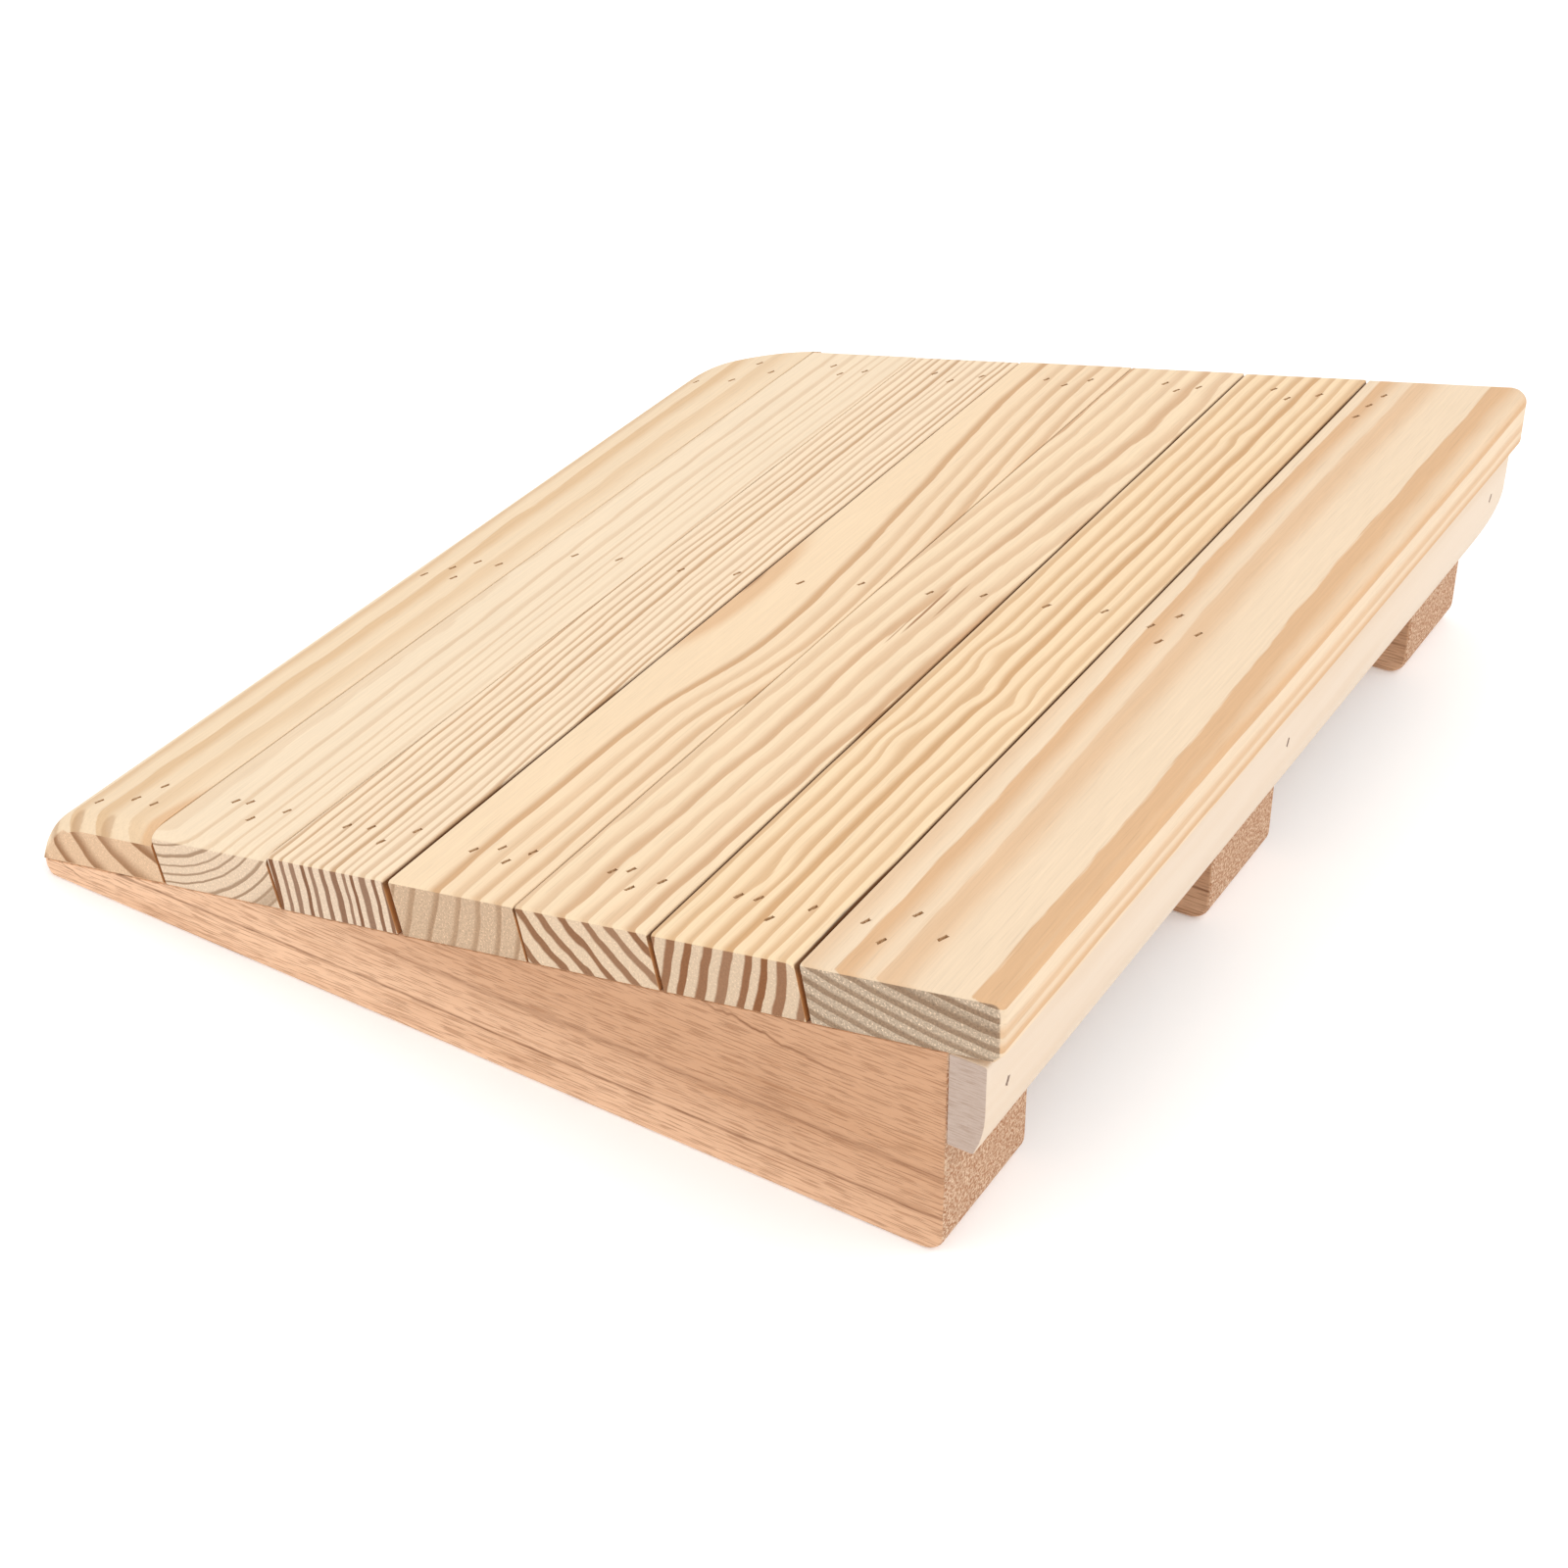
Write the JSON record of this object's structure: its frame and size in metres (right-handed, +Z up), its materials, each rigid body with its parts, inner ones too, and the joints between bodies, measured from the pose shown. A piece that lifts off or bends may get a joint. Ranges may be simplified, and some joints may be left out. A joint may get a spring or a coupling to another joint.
{
  "type": "slant board",
  "caption": "Fixed wooden slant board: a sloping deck of pine planks nailed to tapered hardwood ribs, with a rounded low front edge and a thin rail closing the high back.",
  "frame": {"origin": "middle of the footprint's box, on the floor", "axes": "+X to the right along the boards, +Y up the slope from the low front edge to the high back edge, +Z up"},
  "size_m": [0.392, 0.3484, 0.0939],
  "materials": {
    "pine_honey": "sanded, unsealed pine",
    "pine_pale": "sanded, unsealed pine",
    "pine_fine_lined": "sanded, unsealed pine",
    "pine_wavy": "sanded, unsealed pine",
    "pine_broad_lined": "sanded, unsealed pine",
    "pine_kinked": "sanded, unsealed pine",
    "pine_broad_banded": "sanded, unsealed pine",
    "rib_hardwood": "planed, unsealed hardwood",
    "rail_pine": "smooth planed, unsealed pine",
    "brad_steel": "bright wire, dulled"
  },
  "bodies": {
    "root": {"deck_board_1": "pine_honey", "deck_board_2": "pine_pale", "deck_board_3": "pine_fine_lined", "deck_board_4": "pine_wavy", "deck_board_5": "pine_broad_lined", "deck_board_6": "pine_kinked", "deck_board_7": "pine_broad_banded", "rib_left": "rib_hardwood", "rib_middle": "rib_hardwood", "rib_right": "rib_hardwood", "back_rail": "rail_pine", "brads_board_1": "brad_steel", "brads_board_2": "brad_steel", "brads_board_3": "brad_steel", "brads_board_4": "brad_steel", "brads_board_5": "brad_steel", "brads_board_6": "brad_steel", "brads_board_7": "brad_steel", "rail_brads": "brad_steel"}
  },
  "joints": []
}
